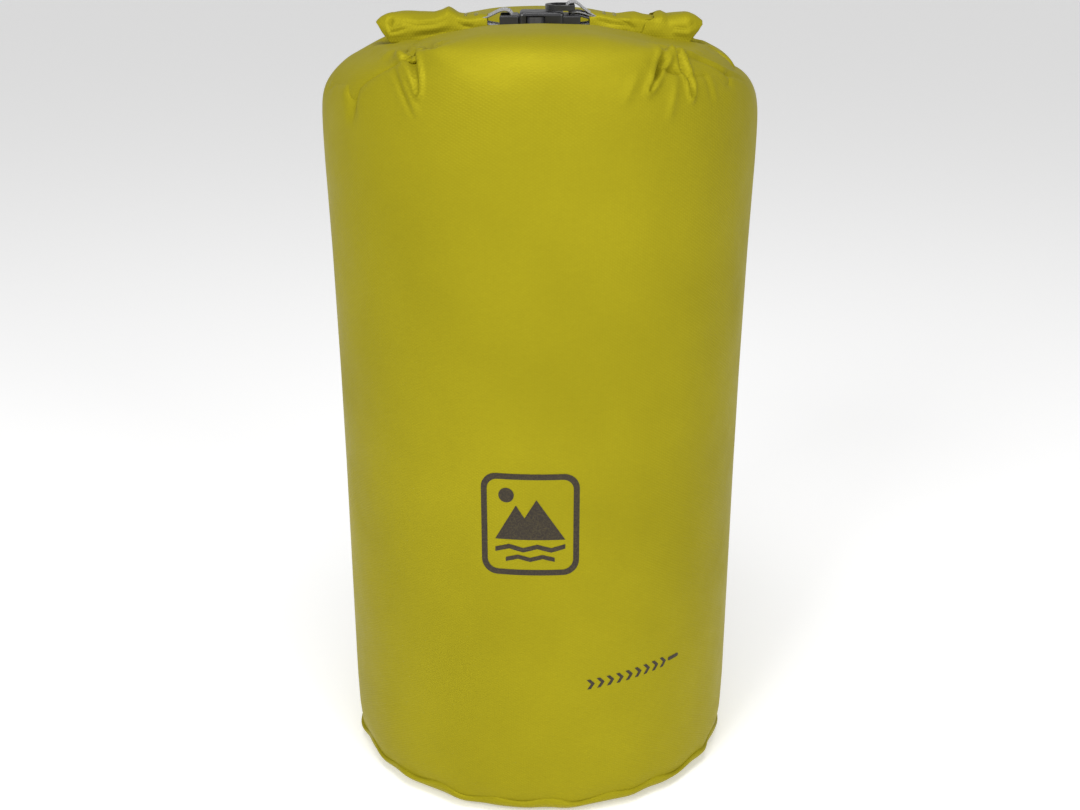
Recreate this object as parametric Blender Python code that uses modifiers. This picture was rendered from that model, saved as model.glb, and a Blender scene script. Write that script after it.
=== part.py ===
"""A 30-litre roll-top stuff sack, closed: the filled fabric sack, the rolled mouth lying along its
top, the two ends of the roll folded back over it, and the side-release buckle that joins them, with
a D-ring to hang the sack by.

Metres, +Z up. The origin is the middle of the sack's base, on the surface it stands on. The front
is -Y, and the roll runs along X. Run it with: blender --background --python part.py
"""

import math

import bmesh
import bpy

MM = 0.001
GAP = 0.35 * MM  # between two pieces that lie on each other

# The sack. Its wall widens a little from the base seam to the shoulder, then closes over to a slit mouth.
BASE_RADIUS = 121.3 * MM
SHOULDER_RADIUS = 128.0 * MM
SEAM_TUCK = 2.0 * MM  # how far the base seam pulls the wall in
SEAM_TUCK_HEIGHT = 12.0 * MM
SEAM_HEIGHT = 10.5 * MM
FABRIC = 0.8 * MM  # coated nylon, drawn thicker than the real 0.15 mm
SIDE_SHOULDER_HEIGHT = 416.0 * MM  # where the wall starts to close over, at the sides
FRONT_SHOULDER_HEIGHT = 370.0 * MM  # and at the front and back
DOME_HEIGHT = 461.0 * MM
DOME_DROOP = 1.35  # per metre: how the dome falls off towards the sides
DOME_SQUARENESS = 2.1
MOUTH_HALF_LENGTH = 85.0 * MM
MOUTH_HALF_WIDTH = 3.6 * MM
TRENCH_FLOOR = 440.5 * MM  # the valley between the domes, in which the roll lies
TRENCH_HALF_WIDTH = 16.0 * MM
TRENCH_STEEPNESS = 32.0
TRENCH_BLEND = 3.0 * MM
LIP_RISE = 3.2 * MM
LIP_WIDTH = 5.0 * MM
WALL_COLUMNS = 56
WALL_ROWS = 8
DOME_ROWS = 10

# The base.
BASE_FLAT_RADIUS = 104.0 * MM
BASE_CORNER = 15.5 * MM
BASE_RIM_HEIGHT = 10.0 * MM
TURN_STEPS = 64

# The roll: a flat wound bundle, three times over: along the top, and back over it from each end.
ROLL_THREAD = 0.7 * MM  # thickness of the wound double fabric
ROLL_PITCH = 1.15 * MM
ROLL_CORE = 1.95 * MM
ROLL_TURNS = 1.85
ROLL_FLAT = 9.5 * MM
ROLL_HALF_THICKNESS = ROLL_CORE + ROLL_PITCH * ROLL_TURNS + ROLL_THREAD / 2
ROLL_HALF_WIDTH = ROLL_FLAT + ROLL_HALF_THICKNESS
LOWER_RUN_HEIGHT = 449.5 * MM
UPPER_RUN_HEIGHT = 459.5 * MM
BEND_X = 87.5 * MM
BEND_HEIGHT = 454.5 * MM
BEND_RADIUS = 9.3 * MM
RUN_END_X = 77.5 * MM
ARM_END_X = 47.0 * MM
HEM_END_X = 34.5 * MM
HEM_HALF_WIDTH = 10.5 * MM
HEM_THICKNESS = 1.9 * MM
HEM_WALL = 0.35 * MM
STIFFENER_THICKNESS = 0.6 * MM
STIFFENER_HALF_WIDTH = 9.4 * MM

# The webbing tabs and what they hold.
WEBBING_HALF_WIDTH = 9.7 * MM
WEBBING = 1.3 * MM
RING_WEBBING = 1.1 * MM
BAR_X = 20.9 * MM
BAR_RADIUS = 1.6 * MM
TAB_LOOP = BAR_RADIUS + 0.3 * MM + WEBBING / 2
TAB_END_X = 46.2 * MM
TAB_LEG = HEM_THICKNESS / 2 + GAP + WEBBING / 2
BARTACK_X = (38.0 * MM, 43.5 * MM)
BARTACK_SIZE = (1.8 * MM, 17.0 * MM, 0.5 * MM)

# The side-release buckle.
RAIL_END_X = 23.3 * MM
RAIL_INNER = 10.1 * MM
RAIL_OUTER = 12.4 * MM
RAIL_HALF_THICKNESS = 3.2 * MM
SLOT_END_X = 16.6 * MM
HOUSING_LENGTH = (-12.0 * MM, 13.8 * MM)
HOUSING_HALF_WIDTH = 13.0 * MM
HOUSING_HALF_THICKNESS = 5.0 * MM
SOCKET_HALF_WIDTH = 11.0 * MM
SOCKET_HALF_THICKNESS = 2.9 * MM
SOCKET_END_X = 8.5 * MM
WINDOW = (-8.0 * MM, 3.0 * MM)
PLUG_END_X = -9.8 * MM
PLUG_HALF_WIDTH = 10.6 * MM
PLUG_HALF_THICKNESS = 2.5 * MM
GUIDE_END_X = 6.0 * MM
GUIDE_HALF_WIDTH = 1.8 * MM
PRONG_ROOT = (-9.4 * MM, 7.0 * MM)
PRONG_HALF_THICKNESS = 2.2 * MM
# The rear prong from above, in mm: root, inner side, tip, the finger pad's bulge, and the shoulder
# that latches.
PRONG_OUTLINE = [
    (-9.4, 5.6), (1.2, 6.2), (5.0, 7.6), (5.6, 9.2), (3.4, 10.6), (0.7, 12.3), (-2.8, 13.3),
    (-5.8, 12.8), (-7.4, 11.6), (-7.4, 9.8), (-4.8, 9.4), (-9.4, 8.6),
]

# The D-ring.
RING_BAR = (18.5 * MM, 466.8 * MM)  # x and z of its straight side, on which it swings
RING_HALF_THICKNESS = 1.5 * MM
RING_HALF_WIDTH = 13.0 * MM
RING_STRAIGHT = 6.0 * MM  # before the D's curve starts
RING_CURVE = 9.5 * MM
RING_LOOP = 2.1 * MM + RING_WEBBING / 2

# name: (colour, roughness)
FINISHES = {
    "coated_nylon": ((0.43, 0.38, 0.02), 0.45),
    "seam_tape": ((0.62, 0.60, 0.42), 0.55),
    "hem_fabric": ((0.33, 0.30, 0.03), 0.6),
    "stiffener": ((0.75, 0.75, 0.72), 0.4),
    "webbing": ((0.16, 0.16, 0.17), 0.6),
    "thread": ((0.03, 0.03, 0.03), 0.7),
    "acetal": ((0.025, 0.025, 0.03), 0.35),
}


# ---------------------------------------------------------------- helpers


def start_clean():
    for obj in list(bpy.data.objects):
        bpy.data.objects.remove(obj, do_unlink=True)
    made = {}
    for name in ("stuff_sack", "cutters"):
        made[name] = bpy.data.collections.new(name)
        bpy.context.scene.collection.children.link(made[name])
    return made


def finish(name):
    """The named finish as a material, made once."""
    found = bpy.data.materials.get(name)
    if found:
        return found
    colour, roughness = FINISHES[name]
    found = bpy.data.materials.new(name)
    found.use_nodes = True
    shader = found.node_tree.nodes["Principled BSDF"]
    shader.inputs["Base Color"].default_value = (*colour, 1.0)
    shader.inputs["Roughness"].default_value = roughness
    shader.inputs["Metallic"].default_value = 0.0
    return found


def place(name, data, look):
    obj = bpy.data.objects.new(name, data)
    COLLECTIONS["stuff_sack"].objects.link(obj)
    if look:
        obj.data.materials.append(finish(look))
    return obj


def as_helper(obj):
    """Turns a piece into a cutter or a joined shape: not rendered, and not a node."""
    COLLECTIONS["stuff_sack"].objects.unlink(obj)
    COLLECTIONS["cutters"].objects.link(obj)
    obj.hide_render = True
    obj.display_type = "WIRE"
    return obj


def combine(obj, other, operation):
    """A Boolean modifier that cuts obj with other, or joins other to it."""
    modifier = obj.modifiers.new(f"{operation.lower()}_{other.name}", "BOOLEAN")
    modifier.operation = operation
    modifier.solver = "EXACT"
    modifier.object = as_helper(other)
    return obj


def round_edges(obj, width, segments=2):
    modifier = obj.modifiers.new("round_edges", "BEVEL")
    modifier.width = width
    modifier.segments = segments
    modifier.limit_method = "ANGLE"
    modifier.angle_limit = math.radians(40)
    return obj


def weld(obj):
    modifier = obj.modifiers.new("weld", "WELD")
    modifier.merge_threshold = 0.00001
    return obj


def box(name, look, low, high):
    mesh = bpy.data.meshes.new(name)
    shape = bmesh.new()
    bmesh.ops.create_cube(shape, size=1.0)
    bmesh.ops.scale(shape, vec=[b - a for a, b in zip(low, high)], verts=shape.verts)
    shape.to_mesh(mesh)
    shape.free()
    obj = place(name, mesh, look)
    obj.location = [(a + b) / 2 for a, b in zip(low, high)]
    return obj


def slab(name, look, span, half_width, half_height, z):
    """A box from one x to another, centred on y = 0 and on height z."""
    low = (span[0], -half_width, z - half_height)
    high = (span[1], half_width, z + half_height)
    return box(name, look, low, high)


def rod(name, look, radius, half_length, x, z, sides=24):
    """A round bar along Y."""
    mesh = bpy.data.meshes.new(name)
    shape = bmesh.new()
    bmesh.ops.create_cone(
        shape, cap_ends=True, segments=sides, radius1=radius, radius2=radius, depth=2 * half_length
    )
    shape.to_mesh(mesh)
    shape.free()
    mesh.shade_smooth()
    mesh.set_sharp_from_angle(angle=math.radians(35))
    obj = place(name, mesh, look)
    obj.location = (x, 0, z)
    obj.rotation_euler = (math.radians(90), 0, 0)
    return obj


def outline(name, look, loops, half_depth):
    """A flat shape, twice half_depth deep. The first loop is its edge, and the rest are holes."""
    curve = bpy.data.curves.new(name, "CURVE")
    curve.dimensions = "2D"
    curve.fill_mode = "BOTH"
    curve.extrude = half_depth
    for loop in loops:
        spline = curve.splines.new("POLY")
        spline.points.add(len(loop) - 1)
        for point, (u, v) in zip(spline.points, loop):
            point.co = (u, v, 0, 1)
        spline.use_cyclic_u = True
    return place(name, curve, look)


def along_x(obj, x, z):
    """Stands an outline across the roll: its u is Y, its v is Z and its depth runs along X."""
    obj.rotation_euler = (math.radians(90), 0, math.radians(90))
    obj.location = (x, 0, z)
    return obj


def along_y(obj):
    """Stands an outline upright: its u is X, its v is Z and its depth runs along Y."""
    obj.rotation_euler = (math.radians(90), 0, 0)
    return obj


def band(path, thickness):
    """The closed outline of a strip of this thickness that follows path."""
    near, far = [], []
    for i, (u, v) in enumerate(path):
        u0, v0 = path[max(i - 1, 0)]
        u1, v1 = path[min(i + 1, len(path) - 1)]
        length = math.hypot(u1 - u0, v1 - v0)
        across = (-(v1 - v0) / length * thickness / 2, (u1 - u0) / length * thickness / 2)
        near.append((u + across[0], v + across[1]))
        far.append((u - across[0], v - across[1]))
    return near + far[::-1]


def arc(centre, radius, start, end, steps):
    """Points on a circle, from one angle to another, in degrees."""
    angles = (math.radians(start + (end - start) * i / steps) for i in range(steps + 1))
    return [(centre[0] + radius * math.cos(a), centre[1] + radius * math.sin(a)) for a in angles]


def turned(name, look, profile, thickness=None):
    """A profile of (radius, height) turned about the Z axis, closed, or given a thickness inwards."""
    mesh = bpy.data.meshes.new(name)
    closed = thickness is None
    count = len(profile)
    edges = [(i, (i + 1) % count) for i in range(count if closed else count - 1)]
    mesh.from_pydata([(r, 0, z) for r, z in profile], edges, [])
    obj = place(name, mesh, look)
    screw = obj.modifiers.new("turn", "SCREW")
    screw.axis = "Z"
    screw.angle = math.radians(360)
    screw.steps = screw.render_steps = TURN_STEPS
    screw.use_merge_vertices = True
    screw.merge_threshold = 0.00001
    screw.use_smooth_shade = True
    if not closed:
        thicken(obj, thickness)
    return obj


def thicken(obj, thickness):
    """Gives an open sheet its thickness, on the side away from its normals."""
    solidify = obj.modifiers.new("thickness", "SOLIDIFY")
    solidify.thickness = thickness
    solidify.offset = -1.0
    solidify.use_rim = True
    return obj


def sheet(name, look, rows, thickness, closed):
    """A grid of points as a sheet with a thickness inwards, joined round on itself if closed."""
    mesh = bpy.data.meshes.new(name)
    columns = len(rows[0])
    faces = []
    for r in range(len(rows) - 1):
        for c in range(columns if closed else columns - 1):
            a, b = r * columns + c, r * columns + (c + 1) % columns
            faces.append((a, b, b + columns, a + columns))
    mesh.from_pydata([point for row in rows for point in row], [], faces)
    mesh.shade_smooth()
    return thicken(place(name, mesh, look), thickness)


def pivot(name, location, pieces, parent=None):
    """An empty on a joint's axis that carries the pieces which move about it."""
    empty = bpy.data.objects.new(name, None)
    empty.empty_display_size = 0.01
    COLLECTIONS["stuff_sack"].objects.link(empty)
    empty.location = location
    if parent:
        empty.parent = parent
        bpy.context.view_layer.update()
        empty.matrix_parent_inverse = parent.matrix_world.inverted()
    bpy.context.view_layer.update()
    for piece in pieces:
        piece.parent = empty
        piece.matrix_parent_inverse = empty.matrix_world.inverted()
    return empty


# ---------------------------------------------------------------- the sack


def wall_radius(z):
    widening = (SHOULDER_RADIUS - BASE_RADIUS) * (z / SIDE_SHOULDER_HEIGHT) ** 2.2
    return BASE_RADIUS + widening - SEAM_TUCK * math.exp(-(z - SEAM_HEIGHT) / SEAM_TUCK_HEIGHT)


def shoulder_height(azimuth):
    """Where the wall starts to close over. It is lower at the front and back than at the sides."""
    drop = SIDE_SHOULDER_HEIGHT - FRONT_SHOULDER_HEIGHT
    return SIDE_SHOULDER_HEIGHT - drop * abs(math.sin(azimuth)) ** 1.5


def smooth_lower(a, b, blend):
    """The lower of two heights, with the corner between them rounded."""
    share = max(0.0, min(1.0, 0.5 + (b - a) / (2 * blend)))
    return b + (a - b) * share - blend * share * (1 - share)


def top_height(x, y, dome):
    """The dome with the roll's valley pressed into it, and the mouth's lips standing in the valley."""
    rise = TRENCH_STEEPNESS * max(0.0, abs(y) - TRENCH_HALF_WIDTH) ** 2
    lip = LIP_RISE * math.exp(-((y / LIP_WIDTH) ** 2)) if abs(x) <= MOUTH_HALF_LENGTH * 1.02 else 0.0
    return smooth_lower(dome, TRENCH_FLOOR + rise, TRENCH_BLEND) + lip


def dome_point(azimuth, share):
    """A point on the closed-over top, from the shoulder at share 0 to the mouth's lip at share 1."""
    cos, sin = math.cos(azimuth), math.sin(azimuth)
    shoulder = shoulder_height(azimuth)
    radius = wall_radius(shoulder)
    lip = (MOUTH_HALF_LENGTH * cos, MOUTH_HALF_WIDTH * math.copysign(abs(sin) ** 0.4, sin))
    out = math.cos(share * math.pi / 2) ** (2 / DOME_SQUARENESS) if share < 1 else 0.0
    up = math.sin(share * math.pi / 2) ** (2 / DOME_SQUARENESS)
    x = lip[0] + (radius * cos - lip[0]) * out
    y = lip[1] + (radius * sin - lip[1]) * out
    dome = shoulder + (DOME_HEIGHT - DOME_DROOP * x * x - shoulder) * up
    return (x, y, top_height(x, y, dome))


def wall_point(azimuth, share, inset=0.0):
    """A point on the upright wall, from the base seam at share 0 to the shoulder at share 1."""
    z = SEAM_HEIGHT + (shoulder_height(azimuth) - SEAM_HEIGHT) * share
    radius = wall_radius(z) - inset
    return (radius * math.cos(azimuth), radius * math.sin(azimuth), z)


def body_panel():
    """The wall, sewn round into a tube and closed over at the top to the slit mouth that the roll shuts."""
    azimuths = [2 * math.pi * (c + 0.5) / WALL_COLUMNS for c in range(WALL_COLUMNS)]
    rows = [[wall_point(a, (r / WALL_ROWS) ** 1.4) for a in azimuths] for r in range(WALL_ROWS)]
    rows += [[dome_point(a, (r / DOME_ROWS) ** 0.85) for a in azimuths] for r in range(DOME_ROWS + 1)]
    return sheet("body_panel", "coated_nylon", rows, FABRIC, closed=True)


def base_panel():
    """The round base: flat where it stands, and curved up at the rim to the base seam."""
    corner = [
        (BASE_FLAT_RADIUS + BASE_CORNER * math.sin(a), BASE_RIM_HEIGHT * (1 - math.cos(a)))
        for a in (math.radians(18 * i) for i in range(6))
    ]
    return turned("base_panel", "coated_nylon", [*corner[::-1], (0.0, 0.0)], FABRIC)


def base_seam_allowance():
    """The two layers' edges, turned out and sewn together below the seam."""
    inner, outer = 119.9 * MM, 121.1 * MM
    low, high = 5.5 * MM, 11.2 * MM
    profile = [(outer, high), (outer, low), (inner, low), (inner, high)]
    return turned("base_seam_allowance", "coated_nylon", profile)


def base_seam_tape():
    """The sealing tape inside the base seam, on the wall and on the base."""
    line = [(118.5 * MM, 17.0 * MM), (117.7 * MM, 10.5 * MM), (116.3 * MM, 6.6 * MM)]
    return turned("base_seam_tape", "seam_tape", band(line, 0.4 * MM))


def side_seam_tape():
    """The sealing tape inside the upright seam, down the back of the wall."""
    rows = []
    for r in range(12):
        share = 0.06 + 0.94 * r / 11
        azimuths = (math.radians(a) for a in (85.5, 88.5, 91.5, 94.5))
        rows.append([wall_point(a, share, FABRIC + GAP) for a in azimuths])
    return sheet("side_seam_tape", "seam_tape", rows, 0.4 * MM, closed=False)


# ---------------------------------------------------------------- the roll


def wound(name, start, end, height):
    """A stretch of the roll: the doubled fabric wound flat round the hem, from x = start to x = end."""
    steps = round(ROLL_TURNS * 12)
    path = []
    for i in range(steps + 1):
        angle = 2 * math.pi * ROLL_TURNS * i / steps
        radius = ROLL_CORE + ROLL_PITCH * ROLL_TURNS * i / steps
        side = ROLL_FLAT * max(-1.0, min(1.0, 3 * math.cos(angle)))
        path.append((side + radius * math.cos(angle), radius * math.sin(angle)))
    roll = outline(name, "coated_nylon", [band(path, ROLL_THREAD)], abs(end - start) / 2)
    return along_x(roll, (start + end) / 2, height)


def hem(name, start, end, height):
    """The mouth's hem: a flat sleeve of fabric, open at both ends, for the stiffener."""
    low, high = min(start, end), max(start, end)
    half = HEM_THICKNESS / 2
    sleeve = slab(name, "hem_fabric", (low, high), HEM_HALF_WIDTH, half, height)
    hollow = slab(
        f"{name}_hollow", None, (low - MM, high + MM), HEM_HALF_WIDTH - 2 * HEM_WALL, half - HEM_WALL, height
    )
    return combine(sleeve, hollow, "DIFFERENCE")


def stiffener(name, start, end, height):
    """The flat plastic strip in the hem."""
    span = (min(start, end), max(start, end))
    return slab(name, "stiffener", span, STIFFENER_HALF_WIDTH, STIFFENER_THICKNESS / 2, height)


def roll_centre():
    """The run of the roll that lies along the top of the sack."""
    wound("rolled_mouth", -RUN_END_X, RUN_END_X, LOWER_RUN_HEIGHT)
    hem("mouth_hem", -RUN_END_X + MM, RUN_END_X - MM, LOWER_RUN_HEIGHT)
    stiffener("mouth_stiffener", -RUN_END_X + 2 * MM, RUN_END_X - 2 * MM, LOWER_RUN_HEIGHT)


def roll_arm(side, sign):
    """One folded-back end of the roll, with the bend that it turns on and its webbing tab."""
    bend_x, start, end = sign * BEND_X, sign * RUN_END_X, sign * HEM_END_X
    z = UPPER_RUN_HEIGHT
    return [
        rod(f"roll_bend_{side}", "coated_nylon", BEND_RADIUS, ROLL_HALF_WIDTH, bend_x, BEND_HEIGHT, 32),
        wound(f"rolled_arm_{side}", start, sign * ARM_END_X, z),
        hem(f"arm_hem_{side}", start - sign * MM, end, z),
        stiffener(f"arm_stiffener_{side}", start - sign * 2 * MM, end + sign * MM, z),
        webbing_tab(f"webbing_tab_{side}", sign),
    ]


def webbing_tab(name, sign):
    """Webbing sewn to both faces of the hem's end and looped round the buckle's bar."""
    loop = arc((BAR_X, 0.0), TAB_LOOP, 70, 290, 12)
    turn_x = BAR_X + 9 * MM
    path = [(TAB_END_X, TAB_LEG), (turn_x, TAB_LEG), *loop, (turn_x, -TAB_LEG), (TAB_END_X, -TAB_LEG)]
    path = [(sign * x, UPPER_RUN_HEIGHT + z) for x, z in path]
    return along_y(outline(name, "webbing", [band(path, WEBBING)], WEBBING_HALF_WIDTH))


def ring_webbing():
    """The narrower strap that holds the D-ring, sewn down on top of the right-hand tab."""
    lower = UPPER_RUN_HEIGHT + TAB_LEG + WEBBING / 2 + GAP + RING_WEBBING / 2
    upper = lower + RING_WEBBING + GAP
    loop = arc(RING_BAR, RING_LOOP, 285, 62, 12)
    bend_x = 33.0 * MM
    path = [(TAB_END_X, lower), (bend_x, lower), *loop, (bend_x, upper), (TAB_END_X, upper)]
    return along_y(outline("ring_webbing", "webbing", [band(path, RING_WEBBING)], WEBBING_HALF_WIDTH))


def bartacks(side, sign, height):
    """The dense zigzag bars of thread that sew the webbing down."""
    length, width, thickness = BARTACK_SIZE
    pieces = []
    for place_name, x in zip(("inner", "outer"), BARTACK_X):
        low = (sign * x - length / 2, -width / 2, height)
        high = (sign * x + length / 2, width / 2, height + thickness)
        pieces.append(box(f"bartack_{side}_{place_name}", "thread", low, high))
    return pieces


# ---------------------------------------------------------------- the buckle and the ring


def buckle_rails(name, sign, from_x):
    """The webbing end of either half: two rails, and the round bar between them for the webbing."""
    z = UPPER_RUN_HEIGHT
    span = sorted((sign * RAIL_END_X, sign * from_x))
    block = slab(name, "acetal", span, RAIL_OUTER, RAIL_HALF_THICKNESS, z)
    round_edges(block, 1.0 * MM)
    open_span = sorted((sign * (RAIL_END_X + MM), sign * SLOT_END_X))
    combine(block, slab(f"{name}_gap", None, open_span, RAIL_INNER, 10 * MM, z), "DIFFERENCE")
    bar = rod(f"{name}_bar", None, BAR_RADIUS, RAIL_INNER + MM, sign * BAR_X, z, 16)
    return combine(block, bar, "UNION")


def buckle_male():
    """The half that plugs in: rails and bar, the plug, and the guide rail between the prongs."""
    z = UPPER_RUN_HEIGHT
    flange_x = -HOUSING_LENGTH[0] + GAP
    male = buckle_rails("buckle_male", -1, flange_x)
    plug_span = (-flange_x - MM, PLUG_END_X)
    plug = slab("male_plug", None, plug_span, PLUG_HALF_WIDTH, PLUG_HALF_THICKNESS, z)
    guide_span = (PLUG_END_X - MM, GUIDE_END_X)
    guide = slab("male_guide", None, guide_span, GUIDE_HALF_WIDTH, GUIDE_HALF_WIDTH, z)
    combine(male, round_edges(plug, 0.5 * MM), "UNION")
    return combine(male, round_edges(guide, 0.6 * MM), "UNION")


def prong(name, sign):
    """A side prong. Its pad shows in the housing's window, and its shoulder latches behind the rim."""
    loop = [(x * MM, sign * y * MM) for x, y in PRONG_OUTLINE]
    piece = outline(name, "acetal", [loop], PRONG_HALF_THICKNESS)
    piece.location = (0, 0, UPPER_RUN_HEIGHT)
    return piece


def buckle_female():
    """The housing: the socket for the plug and prongs, a window in each side, and its own bar."""
    z = UPPER_RUN_HEIGHT
    x0, x1 = HOUSING_LENGTH
    housing = slab("buckle_female", "acetal", (x0, x1), HOUSING_HALF_WIDTH, HOUSING_HALF_THICKNESS, z)
    round_edges(housing, 2.0 * MM, 3)
    socket_span = (x0 - MM, SOCKET_END_X)
    socket = slab("housing_socket", None, socket_span, SOCKET_HALF_WIDTH, SOCKET_HALF_THICKNESS, z)
    window = slab("housing_window", None, WINDOW, HOUSING_HALF_WIDTH + MM, SOCKET_HALF_THICKNESS, z)
    combine(housing, socket, "DIFFERENCE")
    combine(housing, window, "DIFFERENCE")
    return combine(housing, buckle_rails("female_rails", 1, x1 - MM), "UNION")


def d_ring():
    """A flat-sided D whose straight side lies in the ring webbing's loop."""
    bar_x, z = RING_BAR
    wire = 2 * RING_HALF_THICKNESS

    def d_shape(inset):
        back = bar_x + RING_HALF_THICKNESS - inset
        front = bar_x - RING_STRAIGHT
        half = RING_HALF_WIDTH - inset
        steps = 14
        curve = [
            (
                front - (RING_CURVE - inset) * math.sin(math.pi * i / steps),
                half * math.cos(math.pi * i / steps),
            )
            for i in range(steps + 1)
        ]
        return [(back, half), *curve, (back, -half)]

    ring = outline("d_ring", "acetal", [d_shape(0.0), d_shape(wire)], RING_HALF_THICKNESS)
    ring.location = (0, 0, z)
    return round_edges(weld(ring), 0.6 * MM)


# ---------------------------------------------------------------- the whole


def build():
    body_panel()
    base_panel()
    base_seam_allowance()
    base_seam_tape()
    side_seam_tape()
    left = roll_arm("left", -1) + bartacks("left", -1, UPPER_RUN_HEIGHT + TAB_LEG + WEBBING / 2 + GAP)
    strap_top = UPPER_RUN_HEIGHT + TAB_LEG + WEBBING / 2 + 2 * RING_WEBBING + 3 * GAP
    right = [*roll_arm("right", 1), ring_webbing(), *bartacks("right", 1, strap_top)]
    roll_centre()
    left_arm = pivot("left_arm_pivot", (-BEND_X, 0, BEND_HEIGHT), left)
    right_arm = pivot("right_arm_pivot", (BEND_X, 0, BEND_HEIGHT), right)
    male = pivot("male_pivot", (-BAR_X, 0, UPPER_RUN_HEIGHT), [buckle_male()], left_arm)
    pivot("female_pivot", (BAR_X, 0, UPPER_RUN_HEIGHT), [buckle_female()], right_arm)
    pivot("ring_pivot", (RING_BAR[0], 0, RING_BAR[1]), [d_ring()], right_arm)
    for name, sign in (("prong_rear", 1), ("prong_front", -1)):
        root = (PRONG_ROOT[0], sign * PRONG_ROOT[1], UPPER_RUN_HEIGHT)
        pivot(f"{name}_pivot", root, [prong(name, sign)], male)


COLLECTIONS = start_clean()
build()
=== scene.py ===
"""A roll-top stuff sack of coated nylon, filled, rolled shut and clipped.

Metres, +Z up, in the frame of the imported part. The front is -Y and the roll runs along X.
"""

import math

import bmesh
import bpy
import numpy as np
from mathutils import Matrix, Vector
from mathutils import noise as mnoise
from mathutils.bvhtree import BVHTree


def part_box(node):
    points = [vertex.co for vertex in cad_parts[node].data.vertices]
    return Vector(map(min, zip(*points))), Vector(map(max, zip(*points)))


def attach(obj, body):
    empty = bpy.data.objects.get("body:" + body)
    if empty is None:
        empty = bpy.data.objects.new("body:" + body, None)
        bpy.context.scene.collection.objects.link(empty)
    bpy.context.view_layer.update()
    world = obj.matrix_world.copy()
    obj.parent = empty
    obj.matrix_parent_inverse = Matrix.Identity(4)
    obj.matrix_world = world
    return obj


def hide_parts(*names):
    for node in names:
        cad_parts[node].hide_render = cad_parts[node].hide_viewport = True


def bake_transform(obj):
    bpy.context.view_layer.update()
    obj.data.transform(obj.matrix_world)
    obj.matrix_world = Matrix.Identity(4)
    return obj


MM = 0.001
TURN = 2 * math.pi

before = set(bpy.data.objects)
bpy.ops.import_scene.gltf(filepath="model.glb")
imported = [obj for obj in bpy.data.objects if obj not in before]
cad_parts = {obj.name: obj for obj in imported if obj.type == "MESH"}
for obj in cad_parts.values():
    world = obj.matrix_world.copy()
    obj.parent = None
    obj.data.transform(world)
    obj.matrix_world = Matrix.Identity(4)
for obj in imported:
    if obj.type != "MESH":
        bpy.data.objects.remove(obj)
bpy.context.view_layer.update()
scene = bpy.context.scene

# ------------------------------------------------------------------ places, from the frame

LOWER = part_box("rolled_mouth")
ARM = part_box("rolled_arm_right")
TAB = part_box("webbing_tab_right")
ARM_Z = (ARM[0][2] + ARM[1][2]) / 2
LOWER_Z = (LOWER[0][2] + LOWER[1][2]) / 2
SEAM_Z = 10.5 * MM

# ------------------------------------------------------------------ materials


def node_material(
    name, colour, roughness, metallic=0.0, specular=0.5, sheen=0.0, sheen_rough=0.4, coat=0.0, coat_rough=0.3
):
    material = bpy.data.materials.new(name)
    material.use_nodes = True
    tree = material.node_tree
    shader = tree.nodes["Principled BSDF"]
    shader.inputs["Base Color"].default_value = (*colour, 1)
    shader.inputs["Roughness"].default_value = roughness
    shader.inputs["Metallic"].default_value = metallic
    shader.inputs["Specular IOR Level"].default_value = specular
    shader.inputs["Sheen Weight"].default_value = sheen
    shader.inputs["Sheen Roughness"].default_value = sheen_rough
    shader.inputs["Coat Weight"].default_value = coat
    shader.inputs["Coat Roughness"].default_value = coat_rough
    return material, tree, shader


class Graph:
    """Short names for the node calls that every material repeats."""

    def __init__(self, tree):
        self.tree = tree

    def node(self, kind, **settings):
        made = self.tree.nodes.new(kind)
        for key, value in settings.items():
            setattr(made, key, value)
        return made

    def link(self, a, b):
        self.tree.links.new(a, b)

    def put(self, socket, value):
        if hasattr(value, "is_output"):
            self.link(value, socket)
        else:
            socket.default_value = value

    def math(self, operation, a, b=0.0, clamp=False):
        made = self.node("ShaderNodeMath", operation=operation, use_clamp=clamp)
        self.put(made.inputs[0], a)
        self.put(made.inputs[1], b)
        return made.outputs[0]

    def noise(self, vector, scale, detail=2.0, rough=0.5):
        made = self.node("ShaderNodeTexNoise")
        self.link(vector, made.inputs["Vector"])
        made.inputs["Scale"].default_value = scale
        made.inputs["Detail"].default_value = detail
        made.inputs["Roughness"].default_value = rough
        return made.outputs["Fac"]

    def ramp(self, value, stops):
        made = self.node("ShaderNodeValToRGB")
        self.link(value, made.inputs[0])
        ramp = made.color_ramp
        while len(ramp.elements) < len(stops):
            ramp.elements.new(0.5)
        for element, (place, colour) in zip(ramp.elements, stops):
            element.position = place
            element.color = (*colour, 1)
        return made.outputs["Color"]

    def mix(self, share, a, b):
        made = self.node("ShaderNodeMix", data_type="RGBA")
        self.put(made.inputs["Factor"], share)
        self.put(made.inputs["A"], a)
        self.put(made.inputs["B"], b)
        return made.outputs["Result"]

    def range(self, value, low, high, to_low, to_high):
        made = self.node("ShaderNodeMapRange")
        self.put(made.inputs[0], value)
        for socket, number in zip(made.inputs[1:5], (low, high, to_low, to_high)):
            socket.default_value = number
        return made.outputs[0]

    def bump(self, height, distance, strength=1.0, after=None):
        made = self.node("ShaderNodeBump")
        made.inputs["Strength"].default_value = strength
        made.inputs["Distance"].default_value = distance
        self.link(height, made.inputs["Height"])
        if after is not None:
            self.link(after, made.inputs["Normal"])
        return made.outputs["Normal"]


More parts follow.
